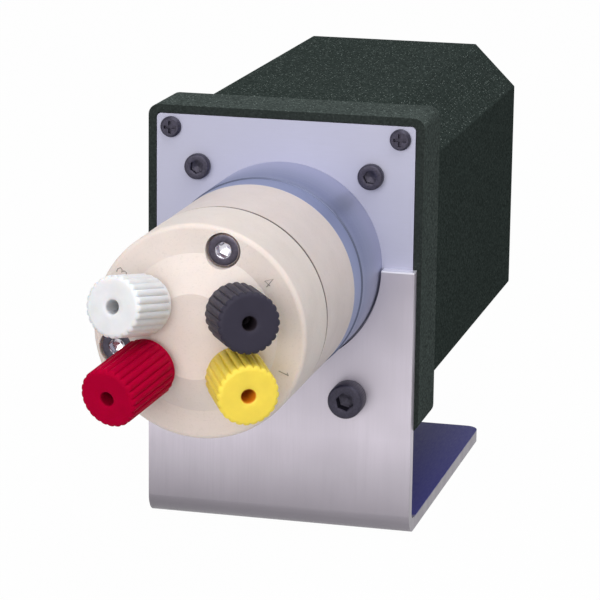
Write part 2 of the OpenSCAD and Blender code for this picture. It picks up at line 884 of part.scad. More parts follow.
module thrust_bearing() color([0.65, 0.65, 0.68]) {
    outer = body_bore_d / 2 - bearing_slack;
    difference() {
        tube(outer, shaft_r + pass_gap, bearing_front, spring_front);
        rotate_about_axis(stop_angle)
            rod(stop_pin_r, bearing_front - over, bearing_front + stop_pin_in_bearing, stop_r);
        translate([0, face_y + bearing_front + bearing_len / 2, axis_height]) rotate([90, 0, 0])
            rotate_extrude() translate([outer, 0]) circle(r = bearing_groove_r);
    }
}

// one dished washer, its rim in front for even numbers and its bore in front for odd ones
module dished_washer(k) {
    inner = shaft_r + washer_bore_slack;
    outer = body_bore_d / 2 - washer_rim_slack;
    y = spring_front + k * washer_pitch + touch;
    outer_y = k % 2 == 0 ? 0 : washer_dish;
    inner_y = washer_dish - outer_y;
    translate([0, face_y + y + washer_pitch, axis_height]) rotate([90, 0, 0]) rotate_extrude()
        polygon([[inner, washer_pitch - inner_y], [outer, washer_pitch - outer_y],
            [outer, washer_pitch - outer_y - washer_t + touch],
            [inner, washer_pitch - inner_y - washer_t + touch]]);
}

module spring_washers() color([0.6, 0.6, 0.63]) {
    for (k = [0:washer_count - 1]) dished_washer(k);
}

module preload_nut() color([0.68, 0.62, 0.45]) {
    back = preload_front + preload_len;
    across = body_bore_d + 2 * over;
    difference() {
        tube(body_bore_d / 2 - touch, shaft_r + washer_bore_slack, preload_front, back);
        slab(preload_slot_w, across, back - preload_slot_depth, back + over);
        slab(across, preload_slot_w, back - preload_slot_depth, back + over);
    }
}

module shaft_bushing() color([0.62, 0.5, 0.3]) {
    tube(collar_bore_r - touch, shaft_r + run_gap, shaft_bushing_front, -shaft_bushing_inset);
}

// ridged outline of a fitting nut
module ridged_outline() {
    root = nut_r - ridge_depth;
    step = 360 / nut_ridges;
    polygon([for (k = [0:nut_ridges - 1], part = ridge_shape)
        let (a = (k + part[0]) * step, r = root + part[1] * ridge_depth) r * [cos(a), sin(a)]]);
}

module fitting_nut(p) {
    len = p[4];
    ring_r = nut_r - ridge_depth - nut_ring_step;
    bore_r = tube_bore_d / 2;
    mouth_r = tube_mouth_d / 2;
    at_port(p) difference() {
        union() {
            intersection() {
                translate([0, 0, nut_ring_len])
                    linear_extrude(height = len - nut_ring_len) ridged_outline();
                union() {
                    cylinder(h = len - nut_edge, r = nut_r + over);
                    translate([0, 0, len - nut_edge - eps]) cylinder(h = nut_edge + eps,
                        r1 = nut_r + nut_edge / 4, r2 = nut_r - ridge_depth - nut_edge / 3);
                }
            }
            cylinder(h = nut_ring_len + eps, r = ring_r);
            translate([0, 0, -nut_thread_len]) cylinder(h = nut_thread_len + eps, r = nut_thread_d / 2);
        }
        translate([0, 0, len - nut_mouth_depth]) cylinder(h = nut_mouth_depth + over, r = mouth_r);
        translate([0, 0, len - nut_lip])
            cylinder(h = nut_lip + eps, r1 = mouth_r, r2 = mouth_r + nut_lip);
        translate([0, 0, -over]) cylinder(h = len, r = bore_r);
        translate([0, 0, -nut_thread_len - over])
            cylinder(h = nut_thread_len + over, r = bore_r + relief_gap);
    }
}

module nut_1() color([0.13, 0.13, 0.17]) fitting_nut(port_1);
module nut_2() color([0.93, 0.94, 0.95]) fitting_nut(port_2);
module nut_3() color([0.65, 0.02, 0.1]) fitting_nut(port_3);
module nut_4() color([0.92, 0.8, 0.2]) fitting_nut(port_4);

module ferrule(p) {
    at_port(p) translate([0, 0, -nut_thread_len - ferrule_len]) difference() {
        cylinder(h = ferrule_len, r1 = ferrule_tip_r, r2 = ferrule_r);
        translate([0, 0, -over])
            cylinder(h = ferrule_len + 2 * over, r = tube_bore_d / 2 - ferrule_bore_gap);
    }
}

module ferrule_1() color([0.85, 0.78, 0.6]) ferrule(port_1);
module ferrule_2() color([0.85, 0.78, 0.6]) ferrule(port_2);
module ferrule_3() color([0.85, 0.78, 0.6]) ferrule(port_3);
module ferrule_4() color([0.85, 0.78, 0.6]) ferrule(port_4);

module front_hub() color([0.75, 0.75, 0.78]) {
    tube(hub_r, shaft_r, hub_front, spider_front);
    plate(spider_front - eps, spider_front + spider_len - pass_gap) for (k = [0:2])
        ring_sector(jaw_inner_r, hub_r, 120 * k - jaw_half, 120 * k + jaw_half);
}

module coupling_spider() color([0.75, 0.15, 0.1]) {
    plate(spider_front + pass_gap, spider_front + spider_len - pass_gap) {
        circle(r = jaw_inner_r - spider_gap);
        for (k = [0:5]) rotate(60 * k + 30)
            ring_sector(jaw_inner_r - over, hub_r, -arm_half, arm_half);
    }
}

module rear_hub() color([0.75, 0.75, 0.78]) {
    tube(hub_r, output_shaft_r, rear_hub_front, rear_hub_front + rear_hub_len);
    plate(spider_front + pass_gap, rear_hub_front + eps) for (k = [0:2])
        ring_sector(jaw_inner_r, hub_r, 120 * k + 60 - jaw_half, 120 * k + 60 + jaw_half);
}

module encoder_disc() color([0.12, 0.12, 0.13]) {
    back = disc_front + disc_t;
    difference() {
        union() {
            rod(disc_r, disc_front, back);
            rod(disc_boss_r, rear_hub_front + rear_hub_len + spider_gap, back + disc_boss_behind);
        }
        rod(output_shaft_r, rear_hub_front, back + disc_boss_behind + over);
        for (k = [0:disc_slots - 1]) rotate_about_axis(k * 360 / disc_slots)
            slab(disc_slot_len, disc_slot_w, disc_front - over, back + over, disc_r - disc_slot_in, 0);
    }
}

module disc_sensor() color([0.1, 0.1, 0.11]) {
    middle = disc_front + disc_t / 2;
    difference() {
        slab(sensor_w, sensor_h, post_end - sensor_len, post_end, 0, sensor_z);
        slab(sensor_w + 2 * over, sensor_h, middle - sensor_slot_w / 2, middle + sensor_slot_w / 2,
            0, sensor_z - sensor_reach);
    }
}

module drive_posts() color([0.7, 0.7, 0.72]) {
    for (sx = [-1, 1]) {
        drive_post(post_r, plate_shank_r, plate_shank_in, sx * plate_screw_x, plate_screw_z);
        drive_post(lower_post_r, bracket_shank_r, bracket_shank_in, sx * bracket_screw_x,
            bracket_screw_z);
    }
}

// a post from the plate to the gear box, tapped for the screw in front and for the one behind
module drive_post(r, front_shank_r, front_in, x, z) {
    difference() {
        rod(r, plate_t, post_end, x, z);
        rod(front_shank_r + thread_slack, plate_t - over, plate_t + front_in + tapped_extra, x, z);
        rod(stack_screw_r + thread_slack, post_end - stack_screw_in, post_end + over, x, z);
    }
}

module gear_plate_blank(y0) {
    height = gear_plate_top - gear_plate_bottom;
    back = y0 + gear_plate_t + over;
    difference() {
        slab(gear_plate_w, height, y0, y0 + gear_plate_t, 0, (gear_plate_top + gear_plate_bottom) / 2);
        rod(bushing_r, y0 - over, back);
        rod(idler_shaft_r + run_gap, y0 - over, back, idler_x, idler_z);
        at_posts() rod(stack_screw_r + thread_slack, y0 - over, back);
    }
}

// places a shape made on the axis at the four posts
module at_posts() {
    for (sx = [-1, 1]) {
        translate([sx * plate_screw_x, 0, plate_screw_z]) children();
        translate([sx * bracket_screw_x, 0, bracket_screw_z]) children();
    }
}

module gear_plate_front() color([0.78, 0.78, 0.8]) gear_plate_blank(post_end);

module gear_plate_rear() color([0.78, 0.78, 0.8]) difference() {
    gear_plate_blank(rear_plate_front);
    rod(pinion_r + over, rear_plate_front - over, motor_front + over, 0, -motor_drop);
    at_motor_screws() rod(motor_screw_r + screw_hole_gap, rear_plate_front - over, motor_front + over);
}

module at_motor_screws() {
    for (sz = [-1, 1]) translate([motor_screw_x, 0, -motor_drop + sz * motor_screw_z]) children();
}

module gear_spacers() color([0.7, 0.7, 0.72]) {
    at_posts() tube(spacer_r, stack_screw_r + thread_slack, post_end + gear_plate_t, rear_plate_front);
}

module stack_screws() color([0.55, 0.55, 0.57]) {
    at_posts() {
        rod(stack_screw_r, post_end - stack_screw_in + hole_slack, motor_front + eps);
        rod(stack_head_r, motor_front, motor_front + stack_head_h);
    }
}

module output_bushings() color([0.62, 0.5, 0.3]) {
    inner = output_shaft_r + run_gap;
    tube(bushing_r, inner, post_end, post_end + gear_plate_t);
    tube(bushing_r, inner, rear_plate_front, motor_front - ferrule_gap);
}

module output_shaft() color([0.72, 0.72, 0.74]) {
    rod(output_shaft_r, rear_hub_front + pass_gap, motor_front - shaft_in);
}

module output_gear() color([0.85, 0.7, 0.35]) difference() {
    union() {
        plate(gear_front, gear_front + gear_len) gear_outline(output_teeth, output_to_idler);
        rod(gear_hub_r, post_end + gear_plate_t + pinion_lip, gear_front + eps);
    }
    rod(output_shaft_r, post_end, rear_plate_front);
}

module idler_gear() color([0.85, 0.7, 0.35]) {
    small_phase = output_to_idler + 180 + 180 / pinion_teeth;
    plate(gear_front, big_gear_front, idler_x, idler_z) gear_outline(pinion_teeth, small_phase);
    plate(big_gear_front, big_gear_front + big_gear_len, idler_x, idler_z)
        gear_outline(idler_teeth, idler_to_motor);
    rod(idler_shaft_r, post_end + pinion_lip, motor_front - pinion_lip, idler_x, idler_z);
}

module motor_pinion() color([0.85, 0.7, 0.35]) {
    phase = idler_to_motor + 180 + 180 / pinion_teeth;
    difference() {
        plate(big_gear_front - pinion_lip, big_gear_front + big_gear_len + pinion_tail, 0, -motor_drop)
            gear_outline(pinion_teeth, phase);
        rod(motor_shaft_r, gear_front, motor_front, 0, -motor_drop);
    }
}

module motor_can() color([0.6, 0.6, 0.63]) {
    tube(motor_d / 2, motor_d / 2 - can_wall, motor_front + cap_len,
        motor_front + motor_len - rear_cap_len, 0, -motor_drop);
}

module motor_front_cap() color([0.5, 0.5, 0.53]) difference() {
    rod(motor_d / 2, motor_front, motor_front + cap_len, 0, -motor_drop);
    rod(motor_shaft_r + run_gap, motor_front - over, motor_front + cap_len + over, 0, -motor_drop);
    at_motor_screws() rod(motor_screw_r + thread_slack, motor_front - over, motor_front + winding_front_gap);
}

module motor_rear_cap() color([0.1, 0.1, 0.11]) {
    rear = motor_front + motor_len;
    difference() {
        rod(motor_d / 2, rear - rear_cap_len, rear, 0, -motor_drop);
        rod(motor_shaft_r + run_gap, rear - rear_cap_len - over, rear - over, 0, -motor_drop);
    }
}

module motor_rotor() color([0.45, 0.3, 0.2]) {
    rear = motor_front + motor_len;
    winding_r = motor_d / 2 - can_wall - winding_gap;
    rod(winding_r, motor_front + cap_len + winding_front_gap, rear - rear_cap_len - winding_rear_gap,
        0, -motor_drop);
    rod(motor_shaft_r, big_gear_front - pinion_lip, rear - motor_shaft_end, 0, -motor_drop);
}

module motor_screws() color([0.5, 0.5, 0.52]) {
    at_motor_screws() {
        rod(motor_head_r, rear_plate_front - motor_head_h, rear_plate_front);
        rod(motor_screw_r, rear_plate_front - eps, motor_front + motor_screw_in);
    }
}

module control_board() color([0.05, 0.3, 0.15]) {
    difference() {
        slab(board_w, board_h, board_front, board_rear, 0, middle_z);
        at_corners(board_post_x, board_post_z)
            rod(board_stud_r + board_hole_gap, board_front - over, board_rear + over);
    }
}

module board_parts() color([0.12, 0.12, 0.14]) {
    slab(chip_w, chip_w, board_front - chip_t, board_front, chip_x, middle_z + chip_z);
    slab(driver_w, driver_h, board_front - driver_t, board_front, driver_x, middle_z + driver_z);
    slab(plug_w, plug_h, board_front - plug_t, board_front, plug_x, middle_z + plug_z);
    for (k = [0:2]) rod(capacitor_r, board_front - capacitor_len, board_front,
        capacitor_x + capacitor_pitch * k, middle_z + capacitor_z);
    for (k = [0:3]) slab(resistor_w, resistor_h, board_front - resistor_t, board_front,
        resistor_x + resistor_pitch * k, middle_z + resistor_z);
}

module board_posts() color([0.72, 0.66, 0.45]) {
    at_corners(board_post_x, board_post_z) {
        rod(board_post_r, board_rear, panel_front);
        rod(board_stud_r, panel_front - eps, panel_front + panel_t);
        rod(board_stud_r, board_front - board_stud_len, board_rear + eps);
    }
}

module data_socket() color([0.6, 0.6, 0.62]) {
    z = middle_z + socket_z;
    face = cover_end + socket_out;
    pin_start = face - socket_pin_depth;
    difference() {
        union() {
            slab(socket_flange_w, socket_flange_h, panel_front - socket_flange_t, panel_front, 0, z);
            slab(socket_w, socket_h, board_rear, face, 0, z);
        }
        for (sx = [-1, 1]) rod(socket_stud_r + hole_slack, panel_front - socket_flange_t - over,
            panel_front + over, sx * socket_post_x, z);
        for (k = [-2:2])
            rod(socket_pin_r, pin_start, face + over, socket_pin_pitch * k, z + socket_row);
        for (k = [-1.5:1.5])
            rod(socket_pin_r, pin_start, face + over, socket_pin_pitch * k, z - socket_row);
    }
}

module socket_posts() color([0.65, 0.65, 0.68]) {
    z = middle_z + socket_z;
    y = panel_front + panel_t;
    for (sx = [-1, 1]) translate([sx * socket_post_x, 0, z]) difference() {
        union() {
            translate([0, face_y + y + socket_post_len, axis_height]) rotate([90, 0, 0])
                cylinder(h = socket_post_len, r = socket_post_r, $fn = 6);
            rod(socket_stud_r, panel_front - socket_flange_t - over, y + eps);
        }
        rod(socket_post_bore_r, y - over, y + socket_post_len + over);
    }
}

module power_inlet() color([0.1, 0.1, 0.11]) {
    z = middle_z + inlet_z;
    back = panel_front + panel_t;
    face = cover_end + inlet_out;
    difference() {
        union() {
            rod(inlet_r, board_rear, face, 0, z);
            rod(inlet_r + inlet_rim, back, back + inlet_rim_t, 0, z);
        }
        for (k = [0:3]) rod(inlet_pin_r, face - inlet_pin_depth, face + over,
            inlet_pin_circle * cos(90 * k + 45), z + inlet_pin_circle * sin(90 * k + 45));
        slab(inlet_key_w, inlet_key_h, face - inlet_pin_depth, face + over, 0, z + inlet_key_z);
    }
}

rear_cover();
rear_panel();
rear_screws();
tie_rods();
front_bezel();
front_plate();
corner_screws();
plate_screws();
stand_bracket();
bracket_screws();
mounting_collar();
collar_screws();
clamp_ring();
valve_body();
stator();
stator_screws();
dowel_pins();
rotor_seal();
rotor_pins();
valve_shaft();
thrust_bearing();
spring_washers();
preload_nut();
stop_pin();
shaft_bushing();
nut_1();
nut_2();
nut_3();
nut_4();
ferrule_1();
ferrule_2();
ferrule_3();
ferrule_4();
front_hub();
coupling_spider();
rear_hub();
encoder_disc();
disc_sensor();
drive_posts();
gear_plate_front();
gear_plate_rear();
gear_spacers();
stack_screws();
output_bushings();
output_shaft();
output_gear();
idler_gear();
motor_pinion();
motor_can();
motor_front_cap();
motor_rear_cap();
motor_rotor();
motor_screws();
control_board();
board_parts();
board_posts();
data_socket();
socket_posts();
power_inlet();
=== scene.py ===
import json
import math

import bpy
from mathutils import Matrix, Vector


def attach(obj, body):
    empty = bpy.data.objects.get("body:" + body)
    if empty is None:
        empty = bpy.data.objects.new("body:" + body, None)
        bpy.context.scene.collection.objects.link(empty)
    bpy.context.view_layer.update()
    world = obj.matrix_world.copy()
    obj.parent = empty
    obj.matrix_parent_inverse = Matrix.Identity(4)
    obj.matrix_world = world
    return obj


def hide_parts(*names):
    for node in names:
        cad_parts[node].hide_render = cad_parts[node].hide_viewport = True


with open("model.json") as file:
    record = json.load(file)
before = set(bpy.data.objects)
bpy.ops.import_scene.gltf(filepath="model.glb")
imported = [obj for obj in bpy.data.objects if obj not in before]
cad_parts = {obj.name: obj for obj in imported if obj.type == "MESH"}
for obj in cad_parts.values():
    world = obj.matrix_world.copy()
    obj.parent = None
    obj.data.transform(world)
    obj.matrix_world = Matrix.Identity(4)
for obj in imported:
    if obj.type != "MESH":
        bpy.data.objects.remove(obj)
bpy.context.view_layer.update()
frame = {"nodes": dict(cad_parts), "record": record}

nodes = frame["nodes"]
MM = 0.001
# height of the valve's axis, and where the housing's face lies
AXIS_Z = 60.3 * MM
FACE_Y = -38.0 * MM
# how far the stator's front stands out of that face, in mm
STATOR_OUT = 67.1
STATOR_FRONT_Y = FACE_Y - STATOR_OUT * MM
COLLAR_FRONT_Y = FACE_Y - 18.3 * MM
# radius of the hole in a finger nut's outer end
MOUTH_R = 1.4 * MM


# ---------------------------------------------------------------- node graphs

def srgb(r, g, b):
    """A colour given as 0-255 values, as the linear values that a shader takes."""
    def lin(c):
        c = c / 255.0
        return c / 12.92 if c <= 0.04045 else ((c + 0.055) / 1.055) ** 2.4
    return (lin(r), lin(g), lin(b), 1.0)


def shade(colour, k):
    """The same colour, k times as light."""
    return tuple(c * k for c in colour[:3]) + (1.0,)


class Graph:
    """Builds one material's nodes. Positions are the object's own, in metres."""

    def __init__(self, name):
        self.mat = bpy.data.materials.new(name)
        self.mat.use_nodes = True
        self.tree = self.mat.node_tree
        self.tree.nodes.clear()
        self.out = self.add("ShaderNodeOutputMaterial")
        self.position = self.add("ShaderNodeTexCoord").outputs["Object"]

    def add(self, kind, **values):
        node = self.tree.nodes.new(kind)
        for key, value in values.items():
            setattr(node, key, value)
        return node

    def put(self, socket, value):
        if isinstance(value, bpy.types.NodeSocket):
            self.tree.links.new(value, socket)
        else:
            socket.default_value = value

    def stretched(self, scale):
        node = self.add("ShaderNodeMapping", vector_type="POINT")
        self.put(node.inputs["Vector"], self.position)
        node.inputs["Scale"].default_value = scale
        return node.outputs["Vector"]

    def noise(self, scale, detail, roughness=0.5, vector=None):
        node = self.add("ShaderNodeTexNoise")
        self.put(node.inputs["Vector"], vector or self.position)
        node.inputs["Scale"].default_value = scale
        node.inputs["Detail"].default_value = detail
        node.inputs["Roughness"].default_value = roughness
        return node.outputs["Fac"]

    def cells(self, scale, feature="F1", output="Distance"):
        node = self.add("ShaderNodeTexVoronoi", feature=feature)
        self.put(node.inputs["Vector"], self.position)
        node.inputs["Scale"].default_value = scale
        return node.outputs[output]

    def math(self, operation, a, b=0.0):
        node = self.add("ShaderNodeMath", operation=operation)
        self.put(node.inputs[0], a)
        self.put(node.inputs[1], b)
        return node.outputs[0]

    def fit(self, value, low, high, to_low, to_high):
        node = self.add("ShaderNodeMapRange")
        self.put(node.inputs["Value"], value)
        for key, number in (("From Min", low), ("From Max", high), ("To Min", to_low), ("To Max", to_high)):
            node.inputs[key].default_value = number
        return node.outputs["Result"]

    def mix(self, factor, a, b):
        node = self.add("ShaderNodeMix", data_type="RGBA")
        self.put(node.inputs["Factor"], factor)
        self.put(node.inputs["A"], a)
        self.put(node.inputs["B"], b)
        return node.outputs["Result"]

    def bump(self, height, distance, strength):
        node = self.add("ShaderNodeBump")
        node.inputs["Distance"].default_value = distance
        node.inputs["Strength"].default_value = strength
        self.put(node.inputs["Height"], height)
        return node.outputs["Normal"]

    def distance(self, a, b):
        square = self.math("ADD", self.math("POWER", a, 2.0), self.math("POWER", b, 2.0))
        return self.math("SQRT", square)

    def radius(self):
        """Distance from the valve's axis."""
        return self.distance(self.along("X"), self.math("SUBTRACT", self.along("Z"), AXIS_Z))

    def vector(self, x, y):
        node = self.add("ShaderNodeCombineXYZ")
        self.put(node.inputs["X"], x)
        self.put(node.inputs["Y"], y)
        return node.outputs[0]

    def along(self, letter):
        parts = self.add("ShaderNodeSeparateXYZ")
        self.put(parts.inputs[0], self.position)
        return parts.outputs[letter]

    def lathe_rings(self, scale):
        """Noise in rings about the valve's axis, on round sides and flat faces alike."""
        return self.noise(1.0, 3.0, 0.7, self.vector(self.math("MULTIPLY", self.radius(), scale),
                                                     self.math("MULTIPLY", self.along("Y"), scale)))

    def surface(self, colour, roughness, normal, **values):
        shader = self.add("ShaderNodeBsdfPrincipled")
        self.put(shader.inputs["Base Color"], colour)
        self.put(shader.inputs["Roughness"], roughness)
        self.put(shader.inputs["Normal"], normal)
        for key, value in values.items():
            self.put(shader.inputs[key.replace("_", " ").title().replace("Ior", "IOR")], value)
        self.put(self.out.inputs["Surface"], shader.outputs[0])
        return self.mat


# ------------------------------------------------------------------ materials

# scale of the lathe marks
METAL_RINGS, PLASTIC_RINGS = 5200.0, 4200.0
# how far red, green and blue light spread in the plastics
NUT_SPREAD = (1.8 * MM, 1.4 * MM, 1.1 * MM)
PEEK_SPREAD = (1.6 * MM, 0.9 * MM, 0.5 * MM)
# colour of the painted glints on the grains of the crinkle paint
PAINTED_GLINT = (168, 180, 174)


def crinkle_paint(name, base, front=0.0):
    """Dark wrinkle-finish paint: fine folds, and grains with painted glints, brightest on faces turned up.

    front is how much painted shade darkens the faces turned to the viewer.
    """
    g = Graph(name)
    folds = g.cells(1500, feature="SMOOTH_F1")
    fine = g.noise(2600, 3.0, 0.6)
    height = g.math("ADD", g.math("MULTIPLY", folds, 0.9), g.math("MULTIPLY", fine, 0.8))
    cloud = g.noise(90, 3.0)
    grain = g.noise(1900, 2.0)
    tint = g.mix(g.fit(grain, 0.35, 0.7, 0.0, 1.0), shade(base, 0.55), shade(base, 1.5))
    tint = g.mix(g.fit(cloud, 0.3, 0.7, 0.0, 0.35), tint, shade(base, 0.8))
    facing = g.add("ShaderNodeSeparateXYZ")
    g.put(facing.inputs["Vector"], g.add("ShaderNodeNewGeometry").outputs["Normal"])
    # painted shade: faces turned to the viewer (-Y) are darkened by the share front
    tint = g.mix(g.fit(facing.outputs["Y"], -0.97, -0.7, front, 0.0), tint, shade(base, 0.25))
    # painted glints: pale grains, strongest on faces turned up and faintest on faces turned to the viewer
    painted_glint_share = g.fit(facing.outputs["Z"], 0.1, 0.8, 0.35, 1.0)
    painted_glint_share = g.math("MULTIPLY", painted_glint_share, g.fit(facing.outputs["Y"], -0.95, -0.6, 0.2, 1.0))
    for scale, rare, wide, show in ((1300, 0.84, 0.14, 0.9), (2100, 0.72, 0.19, 0.75)):
        pick = g.add("ShaderNodeSeparateColor")
        g.put(pick.inputs[0], g.cells(scale, output="Color"))
        chosen = g.fit(pick.outputs[0], rare, rare + 0.04, 0.0, show)
        near = g.fit(g.cells(scale), wide, wide + 0.08, 1.0, 0.0)
        spot = g.math("MULTIPLY", g.math("MULTIPLY", chosen, near), painted_glint_share)
        tint = g.mix(spot, tint, srgb(*PAINTED_GLINT))
    rough = g.fit(fine, 0.3, 0.7, 0.6, 0.8)
    return g.surface(tint, rough, g.bump(height, 0.00012, 0.55), specular_ior_level=0.0)


def satin_metal(name, base, roughness, metallic, streak, depth=0.000004, contrast=0.10):
    """Anodised or brushed metal. streak is the stretch of its fine marks along X, Y and Z."""
    g = Graph(name)
    marks = g.noise(1.0, 4.0, 0.65, g.stretched(streak))
    cloud = g.noise(55, 2.0)
    tint = g.mix(g.fit(marks, 0.3, 0.7, 0.0, 1.0), shade(base, 1.0 - contrast), shade(base, 1.0 + contrast))
    tint = g.mix(g.fit(cloud, 0.35, 0.7, 0.0, 0.5), tint, shade(base, 0.93))
    rough = g.fit(marks, 0.3, 0.7, roughness - 0.05, roughness + 0.06)
    return g.surface(tint, rough, g.bump(marks, depth, 0.6), metallic=metallic)


def turned_metal(name, base, roughness, metallic=1.0):
    """Metal turned on a lathe about the valve's axis: rings round the side and on the face."""
    g = Graph(name)
    ring = g.lathe_rings(METAL_RINGS)
    cloud = g.noise(60, 2.0)
    tint = g.mix(g.fit(ring, 0.3, 0.7, 0.0, 1.0), shade(base, 0.93), shade(base, 1.07))
    tint = g.mix(g.fit(cloud, 0.35, 0.7, 0.0, 0.6), tint, shade(base, 0.9))
    rough = g.fit(ring, 0.3, 0.7, roughness - 0.05, roughness + 0.05)
    return g.surface(tint, rough, g.bump(ring, 0.000005, 0.5), metallic=metallic)


def turned_plastic(name, base, seam_shade_r=None):
    """Natural plastic, turned: faint rings, mottling and fine dark flecks. Painted shade darkens it inside the
    groove's radius, when one is given.
    """
    g = Graph(name)
    ring = g.lathe_rings(PLASTIC_RINGS)
    cloud = g.noise(120, 4.0, 0.6)
    grain = g.noise(2100, 2.0, 0.7)
    tint = g.mix(g.fit(cloud, 0.35, 0.68, 0.0, 1.0), shade(base, 1.02), shade(base, 0.955))
    tint = g.mix(g.fit(grain, 0.56, 0.72, 0.0, 0.30), tint, shade(base, 0.74))
    tint = g.mix(g.fit(ring, 0.35, 0.7, 0.0, 0.10), tint, shade(base, 0.8))
    if seam_shade_r:
        # painted shade in the groove between the valve body and the stator
        tint = g.mix(g.fit(g.radius(), seam_shade_r - 0.10 * MM, seam_shade_r - 0.04 * MM, 0.9, 0.0), tint, srgb(120, 108, 108))
    height = g.math("ADD", ring, g.math("MULTIPLY", grain, 0.5))
    rough = g.fit(cloud, 0.3, 0.7, 0.44, 0.56)
    return g.surface(tint, rough, g.bump(height, 0.00001, 0.5), subsurface_weight=0.25,
                     subsurface_scale=1.0, subsurface_radius=PEEK_SPREAD, specular_ior_level=0.35)


def moulded_plastic(name, base, roughness=0.38, level=0.45):
    """Injection-moulded plastic: slight orange peel and a trace of handling wear."""
    g = Graph(name)
    peel = g.noise(900, 2.0)
    scuff = g.noise(2600, 3.0, 0.7)
    cloud = g.noise(200, 3.0)
    tint = g.mix(g.fit(cloud, 0.35, 0.7, 0.0, 1.0), shade(base, 1.03), shade(base, 0.94))
    rough = g.fit(scuff, 0.35, 0.75, roughness - 0.05, roughness + 0.12)
    height = g.math("ADD", peel, g.math("MULTIPLY", scuff, 0.25))
    return g.surface(tint, rough, g.bump(height, 0.00002, 0.35), specular_ior_level=level)


def black_oxide(name, base):
    """Blackened steel: fine mottling, with the grey of the steel where the black has rubbed off."""
    g = Graph(name)
    mottle = g.noise(2400, 4.0, 0.7)
    wear = g.noise(700, 3.0, 0.6)
    tint = g.mix(g.fit(mottle, 0.35, 0.7, 0.0, 1.0), shade(base, 0.65), shade(base, 1.5))
    tint = g.mix(g.fit(wear, 0.62, 0.75, 0.0, 0.5), tint, shade(base, 2.2))
    rough = g.fit(mottle, 0.3, 0.7, 0.32, 0.54)
    return g.surface(tint, rough, g.bump(mottle, 0.00002, 0.5), metallic=0.55)


def collar_finish(name, near, far):
    """Satin collar: painted reflection makes it bluer and darker beside the clamp ring and paler towards the
    plate; painted shade darkens its front edge.
    """
    g = Graph(name)
    ring = g.lathe_rings(METAL_RINGS)
    grain = g.noise(2600, 2.0)
    # painted reflection: darker and bluer near the clamp ring, paler near the plate
    tint = g.mix(g.fit(g.along("Y"), FACE_Y - 15.0 * MM, FACE_Y - 2.0 * MM, 0.0, 1.0), near, far)
    tint = g.mix(g.fit(ring, 0.3, 0.7, 0.0, 0.12), tint, shade(near, 0.7))
    tint = g.mix(g.fit(grain, 0.5, 0.72, 0.0, 0.2), tint, shade(near, 1.5))
    # painted shade on the chamfer of the collar's front edge
    edge = g.fit(g.along("Y"), COLLAR_FRONT_Y - 0.05 * MM, COLLAR_FRONT_Y + 0.05 * MM, 0.85, 0.0)
    tint = g.mix(edge, tint, shade(near, 0.35))
    rough = g.fit(ring, 0.3, 0.7, 0.42, 0.52)
    return g.surface(tint, rough, g.bump(grain, 0.00001, 0.4), metallic=0.8)


def head_screw_steel(name, rim, painted_socket_colour):
    """Screw sunk in the stator's face: dull dark rim, and a hexagon socket made bright by painted reflection."""
    g = Graph(name)
    mottle = g.noise(1800, 3.0, 0.6)
    inside = g.fit(g.along("Y"), STATOR_FRONT_Y + 0.34 * MM, STATOR_FRONT_Y + 0.44 * MM, 0.0, 1.0)
    tint = g.mix(g.fit(mottle, 0.3, 0.7, 0.0, 1.0), shade(rim, 0.8), shade(rim, 1.25))
    # painted reflection: the hexagon socket gets a bright steel colour
    tint = g.mix(inside, tint, painted_socket_colour)
    rough = g.fit(inside, 0.0, 1.0, 0.34, 0.16)
    return g.surface(tint, rough, g.bump(mottle, 0.00001, 0.4), metallic=1.0)


def circuit_board(name, base):
    """Solder mask over copper: a net of paler tracks, slightly raised."""
    g = Graph(name)
    tracks = g.cells(420, feature="DISTANCE_TO_EDGE")
    grain = g.noise(1500, 2.0)
    copper = g.fit(tracks, 0.02, 0.05, 1.0, 0.0)
    tint = g.mix(copper, base, shade(base, 1.9))
    tint = g.mix(g.fit(grain, 0.3, 0.7, 0.0, 0.25), tint, shade(base, 0.6))
    return g.surface(tint, g.fit(grain, 0.3, 0.7, 0.28, 0.4), g.bump(copper, 0.00002, 0.6))


